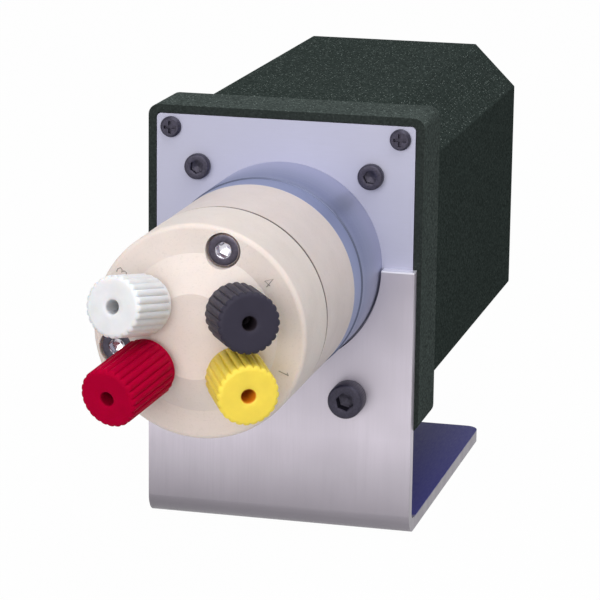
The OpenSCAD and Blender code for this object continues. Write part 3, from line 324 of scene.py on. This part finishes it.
def brushed_bracket(name, base):
    """Brushed sheet: upright marks, painted shade towards its foot and below the collar, a painted highlight
    along its upper edge, and a painted dark blue reflection on the foot's upper face.
    """
    g = Graph(name)
    marks = g.noise(1.0, 4.0, 0.65, g.stretched((2600, 400, 70)))
    cloud = g.noise(26, 3.0, 0.6)
    height = g.along("Z")
    # painted highlight: the sheet's upper edge turns near white
    top = g.fit(height, AXIS_Z - 0.4 * MM, AXIS_Z - 0.2 * MM, 0.0, 1.0)
    tint = g.mix(g.fit(marks, 0.3, 0.7, 0.0, 1.0), shade(base, 0.93), shade(base, 1.07))
    tint = g.mix(g.fit(cloud, 0.35, 0.65, 0.0, 0.8), tint, shade(base, 0.80))
    # painted shade: darker towards the foot, and a little more towards -X
    painted_low_shade = g.math("MULTIPLY", g.fit(height, 3.0 * MM, 22.0 * MM, 0.9, 0.0),
                  g.fit(g.along("X"), -30.0 * MM, 30.0 * MM, 1.0, 0.9))
    tint = g.mix(painted_low_shade, tint, shade(base, 0.3))
    # painted shadow: darker high up, below the collar
    tint = g.mix(g.fit(height, 40.0 * MM, 56.0 * MM, 0.0, 0.8), tint, shade(base, 0.68))
    # painted highlight along the upper edge
    tint = g.mix(top, tint, srgb(236, 235, 242))
    # painted reflection: a dark blue reflection of the housing's underside on the foot's upper face, which is
    # made less metallic and less glossy there
    behind = g.fit(g.along("Y"), FACE_Y + 2.0 * MM, FACE_Y + 4.5 * MM, 0.0, 1.0)
    upper = g.math("MULTIPLY", behind, g.fit(height, 2.6 * MM, 2.9 * MM, 0.0, 1.0))
    low_down = g.fit(height, 4.0 * MM, 6.0 * MM, 1.0, 0.0)
    painted_dark_reflection = g.math("MULTIPLY", upper, low_down)
    tint = g.mix(g.math("MULTIPLY", painted_dark_reflection, 0.96), tint, srgb(56, 56, 124))
    rough = g.fit(marks, 0.3, 0.7, 0.36, 0.5)
    return g.surface(tint, rough, g.bump(marks, 0.000004, 0.5), metallic=g.fit(painted_dark_reflection, 0.0, 1.0, 0.7, 0.0),
                     specular_ior_level=g.fit(painted_dark_reflection, 0.0, 1.0, 0.5, 0.04))


def fitting_plastic(name, base, inside, roughness, soft=0.0, level=0.35):
    """Moulded nut: slight peel, faint clouding, and painted shade inside its bore, in a deeper colour. soft lets
    light through.
    """
    g = Graph(name)
    from_axis = g.distance(g.along("X"), g.along("Y"))
    peel = g.noise(900, 2.0)
    scuff = g.noise(2600, 3.0, 0.7)
    cloud = g.noise(260, 3.0)
    tint = g.mix(g.fit(cloud, 0.35, 0.7, 0.0, 1.0), shade(base, 1.03), shade(base, 0.94))
    # painted shade and painted light through the plastic: the bore is darker and deeper in colour, orange in the
    # yellow nut
    tint = g.mix(g.fit(from_axis, MOUTH_R, MOUTH_R + 0.25 * MM, 1.0, 0.0), tint, inside)
    rough = g.fit(scuff, 0.35, 0.75, roughness - 0.05, roughness + 0.12)
    height = g.math("ADD", peel, g.math("MULTIPLY", scuff, 0.25))
    return g.surface(tint, rough, g.bump(height, 0.00002, 0.35), subsurface_weight=soft,
                     subsurface_scale=1.0, subsurface_radius=NUT_SPREAD, specular_ior_level=level)


materials = {
    "cover_paint": crinkle_paint("cover_paint", srgb(54, 62, 59)),
    # the bezel's paint is a lighter copy of the cover's, painted light for its brighter sides, and its faces
    # turned to the viewer get 0.75 of painted shade
    "bezel_paint": crinkle_paint("bezel_paint", srgb(73, 81, 78), 0.75),
    "panel_paint": crinkle_paint("panel_paint", srgb(40, 41, 44)),
    "plate_metal": satin_metal("plate_metal", srgb(180, 180, 199), 0.6, 0.25, (300, 300, 3000), contrast=0.03),
    "bracket_metal": brushed_bracket("bracket_metal", srgb(206, 199, 210)),
    "collar_metal": collar_finish("collar_metal", srgb(136, 143, 174), srgb(178, 181, 204)),
    "ring_metal": turned_metal("ring_metal", srgb(138, 146, 182), 0.5, 0.6),
    "body_peek": turned_plastic("body_peek", srgb(220, 207, 203), seam_shade_r=22.1 * MM),
    "stator_peek": turned_plastic("stator_peek", srgb(228, 216, 209)),
    # each nut's second colour is the painted shade inside its bore
    "nut_slate": fitting_plastic("nut_slate", srgb(52, 49, 62), srgb(40, 34, 40), 0.5, level=0.12),
    "nut_white": fitting_plastic("nut_white", srgb(228, 229, 232), srgb(196, 197, 200), 0.55, 1.0),
    "nut_crimson": fitting_plastic("nut_crimson", srgb(170, 0, 47), srgb(132, 0, 32), 0.5, 0.4, level=0.02),
    "nut_yellow": fitting_plastic("nut_yellow", srgb(246, 219, 82), srgb(214, 128, 22), 0.45, 0.3, level=0.3),
    "ferrule_plastic": moulded_plastic("ferrule_plastic", srgb(222, 200, 150)),
    "black_steel": black_oxide("black_steel", srgb(54, 51, 65)),
    "steel": turned_metal("steel", srgb(140, 138, 142), 0.3),
    "head_screw_steel": head_screw_steel("head_screw_steel", srgb(70, 66, 76), srgb(214, 212, 220)),
    "spring_steel": turned_metal("spring_steel", srgb(120, 120, 125), 0.35),
    "bearing_steel": turned_metal("bearing_steel", srgb(160, 160, 164), 0.16),
    "bronze": turned_metal("bronze", srgb(176, 140, 84), 0.38),
    "brass": turned_metal("brass", srgb(205, 176, 108), 0.28),
    "seal_polymer": turned_plastic("seal_polymer", srgb(150, 142, 132)),
    "hub_metal": turned_metal("hub_metal", srgb(190, 190, 196), 0.32),
    "gear_plate_metal": satin_metal("gear_plate_metal", srgb(180, 180, 184), 0.34, 1.0, (2600, 2600, 120)),
    "spider_rubber": moulded_plastic("spider_rubber", srgb(168, 42, 34), 0.6, level=0.2),
    "black_plastic": moulded_plastic("black_plastic", srgb(38, 38, 41), 0.5, level=0.3),
    "motor_steel": satin_metal("motor_steel", srgb(150, 150, 156), 0.32, 1.0, (400, 3200, 400)),
    "winding": satin_metal("winding", srgb(150, 92, 50), 0.4, 0.8, (700, 200, 700), 0.00002, 0.25),
    "board_green": circuit_board("board_green", srgb(22, 82, 50)),
    "socket_shell": satin_metal("socket_shell", srgb(160, 160, 166), 0.3, 1.0, (700, 700, 700)),
}

slots = {row["node"]: row["material_slot"] for row in frame["record"]["subparts"]}
for name, node in nodes.items():
    node.data.materials.clear()
    node.data.materials.append(materials[slots[name]])


# ------------------------------------------------------ softened edges of nodes

WELD_GAP = 0.002 * MM
SHARP_EDGE = math.radians(40.0)


def soften(name, width):
    """Breaks the sharp edges of a CAD node by a small width."""
    node = nodes[name]
    weld = node.modifiers.new("weld", "WELD")
    weld.merge_threshold = WELD_GAP
    bevel = node.modifiers.new("bevel", "BEVEL")
    bevel.width = width
    bevel.segments = 2
    bevel.limit_method = "ANGLE"
    bevel.angle_limit = SHARP_EDGE
    bevel.harden_normals = True


# --------------------------------------------------------------- detail pieces

def add_piece(name, mesh, body, slot, turn, covers, sharp):
    """Links a finished mesh as a piece that rides on a body. turn is its own local frame, if it has one."""
    mesh.polygons.foreach_set("use_smooth", [True] * len(mesh.polygons))
    mesh.set_sharp_from_angle(angle=math.radians(sharp))
    mesh.materials.append(materials[slot])
    piece = bpy.data.objects.new(name, mesh)
    if turn is not None:
        piece.matrix_world = turn
    bpy.context.scene.collection.objects.link(piece)
    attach(piece, body)
    if covers:
        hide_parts(*covers)
    return piece


def ring_mesh(name, rings, angles, copies=(Matrix.Identity(4),)):
    """A closed solid skinned over rings, at each of the places in copies.

    Each ring is (radius as a function of angle and height, height).
    """
    points, faces = [], []
    count, loops = len(angles), len(rings)
    for place in copies:
        start = len(points)
        for radius, height in rings:
            for angle in angles:
                r = radius(angle, height)
                points.append(place @ Vector((r * math.cos(angle), r * math.sin(angle), height)))
        for k in range(loops):
            for i in range(count):
                j = (i + 1) % count
                a, b = start + k * count, start + ((k + 1) % loops) * count
                faces.append((a + i, a + j, b + j, b + i))
    mesh = bpy.data.meshes.new(name)
    mesh.from_pydata(points, [], faces)
    return mesh


def plain(radius):
    """A round ring's radius, whatever the angle."""
    return lambda angle, height: radius


# port: mm right of the axis and above it, tilt and its direction in degrees, length of its nut's head in mm
PORTS = {
    1: (8.42, 5.8, 28.9, 7.0, 13.2),
    2: (-9.7, 5.95, 17.2, 145.0, 13.2),
    3: (-8.88, -6.45, 18.8, 218.5, 16.5),
    4: (8.57, -6.95, 28.2, 350.0, 13.2),
}
NUT_R, RIDGE, RIDGES, NUT_RING, NUT_EDGE = 6.25 * MM, 0.4 * MM, 24, 1.2 * MM, 0.7 * MM
THREAD_R, THREAD_LEN, THREAD_DEPTH, PITCH = 3.1 * MM, 9.0 * MM, 0.42 * MM, 25.4 / 28 * MM
STEPS_PER_TURN = 8
MOUTH_DEPTH, BORE_R, RELIEF_R = 6.0 * MM, 0.85 * MM, 1.1 * MM
PORT_RISE = 3.9 * MM
NUT_SLOTS = {1: "nut_slate", 2: "nut_white", 3: "nut_crimson", 4: "nut_yellow"}
RIDGE_STEPS = (-1.0, -0.78, -0.5, -0.18, 0.18, 0.5, 0.78)


def port_frame(k):
    """The local frame of a port: origin on the nut's seat, +Z out of the port."""
    x, z, tilt, lean, _ = PORTS[k]
    place = Vector((x * MM, STATOR_FRONT_Y - PORT_RISE, AXIS_Z + z * MM))
    turn = (Matrix.Rotation(math.radians(90), 4, "X") @ Matrix.Rotation(math.radians(lean), 4, "Z")
            @ Matrix.Rotation(math.radians(tilt), 4, "Y"))
    return Matrix.Translation(place) @ turn


def ridged(fade):
    """Rounded ridges with narrow grooves. fade is the share of their height left, and what is off the radius."""
    share, shrink = fade

    def radius(angle, height):
        u = 2.0 * ((angle / (2 * math.pi) * RIDGES) % 1.0) - 1.0
        return NUT_R - shrink - RIDGE + RIDGE * share * (1.0 - abs(u) ** 3)
    return radius


def threaded(depth):
    """A cut thread that is depth deep."""
    def radius(angle, height):
        turn = (height / PITCH - angle / (2 * math.pi)) % 1.0
        return THREAD_R - depth * abs(2.0 * turn - 1.0)
    return radius


def nut_rings(length):
    """A finger nut, its seat at height 0: threaded shank, ring, ridged head, rounded edge, mouth and bore."""
    edge = NUT_EDGE
    ring_r = NUT_R - RIDGE - 0.05 * MM
    rings = [(plain(RELIEF_R), -THREAD_LEN), (plain(THREAD_R - 0.5 * MM), -THREAD_LEN)]
    steps = int((THREAD_LEN - 0.8 * MM) / PITCH * STEPS_PER_TURN)
    for k in range(steps + 1):
        depth = THREAD_DEPTH * min(1.0, k / 4, (steps - k) / 4)
        rings.append((threaded(depth), -THREAD_LEN + 0.4 * MM + k * PITCH / STEPS_PER_TURN))
    rings += [(plain(THREAD_R - 0.3 * MM), -0.3 * MM), (plain(THREAD_R - 0.3 * MM), 0.0),
              (plain(ring_r - 0.2 * MM), 0.0), (plain(ring_r), 0.2 * MM),
              (plain(ring_r), NUT_RING - 0.1 * MM), (plain(NUT_R - RIDGE - 0.15 * MM), NUT_RING),
              (ridged((0.0, 0.1 * MM)), NUT_RING), (ridged((0.75, 0.0)), NUT_RING + 0.06 * MM),
              (ridged((1.0, 0.0)), NUT_RING + 0.2 * MM), (ridged((1.0, 0.0)), length / 2),
              (ridged((1.0, 0.0)), length - 1.5 * edge)]
    for k in range(7):
        a = math.radians(15 * k)
        left = max(0.0, 1.0 - k / 4.5) ** 0.8
        rings.append((ridged((left, edge * 0.8 * (1 - math.cos(a)))), length - edge + edge * math.sin(a)))
    lip = 0.35 * MM
    for k in range(1, 5):
        r = NUT_R - RIDGE - edge * 0.8
        rings.append((plain(r + (MOUTH_R + lip - r) * k / 4), length))
    rings += [(plain(MOUTH_R + 0.12 * MM), length - 0.14 * MM), (plain(MOUTH_R), length - lip),
              (plain(MOUTH_R), length - MOUTH_DEPTH), (plain(BORE_R), length - MOUTH_DEPTH - 0.3 * MM),
              (plain(BORE_R), 0.0), (plain(RELIEF_R), -0.2 * MM)]
    return rings


def nut_angles():
    """The angles round a nut, closer together in the grooves."""
    step = 2 * math.pi / RIDGES
    return [(k + (u + 1.0) / 2) * step for k in range(RIDGES) for u in RIDGE_STEPS]


for k, slot_name in NUT_SLOTS.items():
    mesh = ring_mesh("finger_nut_%d" % k, nut_rings(PORTS[k][4] * MM), nut_angles())
    add_piece("finger_nut_%d" % k, mesh, "grip_%d" % k, slot_name, port_frame(k), ["nut_%d" % k], 40.0)


EASED_CORNER = 0.97
POINT_R = 0.02 * MM


def hexagon(across):
    """Radius of a hexagonal socket, its corners slightly eased. across is half the width across flats."""
    def radius(angle, height):
        a = (angle + math.pi / 6) % (math.pi / 3) - math.pi / 6
        return min(across / math.cos(a), across / math.cos(math.pi / 6) * EASED_CORNER)
    return radius


KNURLS = 48


def knurled(outer, depth):
    """Radius of a knurled side, its grooves depth deep."""
    def radius(angle, height):
        return outer - depth * (0.5 - 0.5 * math.cos(angle * KNURLS))
    return radius


def socket_head_rings(head_r, head_h, shank_r, shank_len, knurl=0.0):
    """A socket-head screw, its head's underside at height 0 and its shank below."""
    edge = head_r * 0.13
    flat = head_r * 0.45
    bottom = head_h * 0.4
    side = knurled(head_r, knurl)
    rings = [(plain(POINT_R), -shank_len), (plain(shank_r - 0.2 * MM), -shank_len),
             (plain(shank_r), -shank_len + 0.2 * MM), (plain(shank_r), 0.0), (plain(head_r - 0.1 * MM), 0.0),
             (side, 0.1 * MM), (side, head_h - edge)]
    for k in range(1, 5):
        a = math.radians(22.5 * k)
        rings.append((plain(head_r - knurl - edge * (1 - math.cos(a))), head_h - edge + edge * math.sin(a)))
    rings += [(plain(flat * 1.3), head_h), (plain(flat * 1.19), head_h - 0.02 * MM),
              (hexagon(flat), head_h - 0.16 * MM), (hexagon(flat), bottom + 0.05 * MM),
              (hexagon(flat * 0.96), bottom), (plain(flat * 0.5), bottom - 0.15 * MM),
              (plain(POINT_R), bottom - 0.3 * MM)]
    return rings


def screw_place(x, z, y, turn):
    """Head towards the viewer at (x, z) from the axis, its seat at depth y from the plate's front, all in mm."""
    return (Matrix.Translation(Vector((x * MM, FACE_Y + y * MM, AXIS_Z + z * MM)))
            @ Matrix.Rotation(math.radians(90), 4, "X") @ Matrix.Rotation(math.radians(turn), 4, "Z"))


SCREW_SIDES = 144
FINE_TURN = [2 * math.pi * k / SCREW_SIDES for k in range(SCREW_SIDES)]


def screw_set(name, node, slot_name, places, *sizes, **more):
    """One piece with a screw at each place. sizes: radius and height of the head, then of the shank, in mm."""
    rings = socket_head_rings(*[v * MM for v in sizes], **more)
    mesh = ring_mesh(name, rings, FINE_TURN, places)
    add_piece(name, mesh, "housing", slot_name, None, [node], 30.0)


# screws of the CAD, in mm: half-width of the pattern and height from the axis, seat from the plate's front
PLATE = (19.67, 20.37, 0.0)
BRACKET = (16.2, -29.05, -3.0)
# and of the stator: radius of the circle they stand on, the first one's angle, seat
STATOR_SCREW_R, STATOR_SCREW_TURN, STATOR_SEAT = 17.8, 74.0, -62.8

screw_set("plate_cap_screws", "plate_screws", "black_steel",
          [screw_place(side * PLATE[0], PLATE[1], PLATE[2], 11 + 17 * side) for side in (-1, 1)],
          2.87, 1.9, 1.75, 10.0, knurl=0.07 * MM)
screw_set("bracket_cap_screws", "bracket_screws", "black_steel",
          [screw_place(side * BRACKET[0], BRACKET[1], BRACKET[2], 23 - 9 * side) for side in (-1, 1)],
          3.95, 4.8, 2.4, 15.0, knurl=0.1 * MM)
around = [math.radians(STATOR_SCREW_TURN + 120 * k) for k in range(3)]
screw_set("stator_cap_screws", "stator_screws", "head_screw_steel",
          [screw_place(STATOR_SCREW_R * math.cos(a), STATOR_SCREW_R * math.sin(a), STATOR_SEAT, 8 + 19 * k)
           for k, a in enumerate(around)], 3.3, 4.0, 2.0, 52.0)


# numerals raised beside the ports: strokes in a box one unit high, centred on its middle
GLYPHS = {
    "1": [[(-0.16, 0.28), (0.04, 0.5), (0.04, -0.5)]],
    "2": [[(-0.28, 0.28), (-0.16, 0.46), (0.08, 0.5), (0.28, 0.36), (0.26, 0.12), (-0.28, -0.5), (0.3, -0.5)]],
    "3": [[(-0.28, 0.42), (0.0, 0.5), (0.26, 0.36), (0.2, 0.1), (-0.04, 0.04), (0.24, -0.06), (0.28, -0.34),
           (0.0, -0.5), (-0.28, -0.42)]],
    "4": [[(0.14, -0.5), (0.14, 0.5), (-0.32, -0.2), (0.32, -0.2)]],
}


def stroke(points, half, rise, place):
    """A raised stroke along a line of points, with sloping sides."""
    spots, faces = [], []
    for i, point in enumerate(points):
        before, after = points[max(i - 1, 0)], points[min(i + 1, len(points) - 1)]
        run = (Vector(after) - Vector(before)).normalized()
        side = Vector((-run.y, run.x))
        for across, up in ((-1.0, -0.2), (-0.55, 1.0), (0.55, 1.0), (1.0, -0.2)):
            spot = Vector(point) + side * across * half
            spots.append(place @ Vector((spot.x, spot.y, up * rise)))
    last = len(points) - 1
    for i in range(last):
        for k in range(4):
            a, b = 4 * i + k, 4 * i + (k + 1) % 4
            faces.append((a, b, b + 4, a + 4))
    faces += [(3, 2, 1, 0), (4 * last, 4 * last + 1, 4 * last + 2, 4 * last + 3)]
    return spots, faces


# height of a numeral, half its stroke's width, and how far it stands out
NUMERAL_H, STROKE_HALF, STROKE_RISE = 2.2 * MM, 0.11 * MM, 0.06 * MM


def numerals(name, marks):
    """Numerals on the stator's face. Each mark is its glyph, x, z and turn."""
    spots, faces = [], []
    for glyph, x, z, turn in marks:
        place = screw_place(x, z, -STATOR_OUT, turn)
        for line in GLYPHS[glyph]:
            points = [(px * NUMERAL_H, pz * NUMERAL_H) for px, pz in line]
            more, quads = stroke(points, STROKE_HALF, STROKE_RISE, place)
            faces += [tuple(len(spots) + v for v in quad) for quad in quads]
            spots += more
    mesh = bpy.data.meshes.new(name)
    mesh.from_pydata(spots, [], faces)
    add_piece(name, mesh, "housing", "seal_polymer", None, (), 20.0)


numerals("port_numerals", [("4", 14.4, 11.4, -38.0), ("3", -16.1, 11.25, 52.0), ("1", 17.7, -7.0, -112.0),
                           ("2", -14.6, -12.6, 131.0)])

# the rear panel is left as it is, because a bevel draws dark lines between its holes
for name, width in (("rear_cover", 0.5), ("front_bezel", 0.35), ("front_plate", 0.3), ("stand_bracket", 0.4),
                    ("data_socket", 0.2)):
    soften(name, width * MM)


# --------------------------------------------------------------- camera, lights

LIT_SPOT = (0.0, -0.03, 0.05)


def set_camera():
    """The photograph's view: a long lens from the front right, a little above."""
    azimuth, elevation, roll = math.radians(14.177), math.radians(13.603), math.radians(-0.729)
    back_off, shift_right, shift_down = 660.971 * MM, -3.772 * MM, -0.453 * MM
    foot_drop = 51.934 * MM
    forward = Vector((-math.sin(azimuth) * math.cos(elevation), math.cos(azimuth) * math.cos(elevation),
                      -math.sin(elevation)))
    level = Vector((math.cos(azimuth), math.sin(azimuth), 0.0))
    down = forward.cross(level)
    right = level * math.cos(roll) + down * math.sin(roll)
    under = -level * math.sin(roll) + down * math.cos(roll)
    place = Vector((0.0, FACE_Y, foot_drop)) - right * shift_right - under * shift_down - forward * back_off
    turn = Matrix((right, -under, -forward)).transposed()
    data = bpy.data.cameras.new("camera")
    data.sensor_width = 36.0
    data.lens = 178.48
    data.clip_start, data.clip_end = 0.02, 20.0
    camera = bpy.data.objects.new("camera", data)
    camera.matrix_world = Matrix.Translation(place) @ turn.to_4x4()
    bpy.context.scene.collection.objects.link(camera)
    bpy.context.scene.camera = camera


def area_light(name, place, size, power, colour):
    """A soft light, size in metres and power in watts, turned towards the valve."""
    data = bpy.data.lights.new(name, "AREA")
    data.shape = "RECTANGLE"
    data.size, data.size_y = size
    data.energy = power
    data.color = colour
    light = bpy.data.objects.new(name, data)
    light.location = place
    light.rotation_mode = "QUATERNION"
    light.rotation_quaternion = (Vector(place) - Vector(LIT_SPOT)).to_track_quat("Z", "Y")
    bpy.context.scene.collection.objects.link(light)


def view_flag(tree):
    """1 for rays that show the background, 0 for those that light the object."""
    path = tree.nodes.new("ShaderNodeLightPath")
    total = None
    for key in ("Is Camera Ray", "Is Glossy Ray", "Is Transmission Ray"):
        if total is None:
            total = path.outputs[key]
            continue
        add = tree.nodes.new("ShaderNodeMath")
        add.operation = "ADD"
        add.use_clamp = True
        tree.links.new(total, add.inputs[0])
        tree.links.new(path.outputs[key], add.inputs[1])
        total = add.outputs[0]
    return total


# share of the white world that lights the object, the floor's own grey, and the floor's glow to the viewer
SKY_LIGHT, FLOOR_GREY, FLOOR_GLOW = 0.3, 0.55, 0.985
FLOOR_HALF, FLOOR_DROP = 6.0, 0.2 * MM


def studio():
    """White world, plain pale floor and two soft lights."""
    world = bpy.data.worlds.new("studio")
    bpy.context.scene.world = world
    world.use_nodes = True
    tree = world.node_tree
    background = next(n for n in tree.nodes if n.type == "BACKGROUND")
    background.inputs["Color"].default_value = (1.0, 1.0, 1.0, 1.0)
    strength = tree.nodes.new("ShaderNodeMapRange")
    strength.inputs["To Min"].default_value = SKY_LIGHT
    strength.inputs["To Max"].default_value = 1.0
    tree.links.new(view_flag(tree), strength.inputs["Value"])
    tree.links.new(strength.outputs["Result"], background.inputs["Strength"])

    floor_material = bpy.data.materials.new("floor")
    floor_material.use_nodes = True
    tree = floor_material.node_tree
    shader = next(n for n in tree.nodes if n.type == "BSDF_PRINCIPLED")
    shader.inputs["Base Color"].default_value = (FLOOR_GREY, FLOOR_GREY, FLOOR_GREY, 1.0)
    shader.inputs["Roughness"].default_value = 0.9
    shader.inputs["Specular IOR Level"].default_value = 0.0
    glow = tree.nodes.new("ShaderNodeEmission")
    glow.inputs["Strength"].default_value = 1.0
    blend = tree.nodes.new("ShaderNodeMixShader")
    share = tree.nodes.new("ShaderNodeMath")
    share.operation = "MULTIPLY"
    share.inputs[1].default_value = FLOOR_GLOW
    tree.links.new(view_flag(tree), share.inputs[0])
    tree.links.new(share.outputs[0], blend.inputs["Fac"])
    tree.links.new(shader.outputs[0], blend.inputs[1])
    tree.links.new(glow.outputs[0], blend.inputs[2])
    out = next(n for n in tree.nodes if n.type == "OUTPUT_MATERIAL")
    tree.links.new(blend.outputs[0], out.inputs["Surface"])
    half = FLOOR_HALF
    mesh = bpy.data.meshes.new("floor")
    mesh.from_pydata([(-half, -half, 0), (half, -half, 0), (half, half, 0), (-half, half, 0)], [], [(0, 1, 2, 3)])
    mesh.materials.append(floor_material)
    floor = bpy.data.objects.new("floor", mesh)
    floor.location.z = -FLOOR_DROP
    bpy.context.scene.collection.objects.link(floor)

    area_light("top_light", (0.28, -0.25, 1.0), (0.9, 0.9), 7.1, (0.95, 0.97, 1.0))
    area_light("front_light", (-0.08, -1.2, 0.4), (1.2, 0.8), 9.1, (1.0, 0.98, 0.965))


set_camera()
studio()

scene = bpy.context.scene
scene.view_settings.view_transform = "Standard"
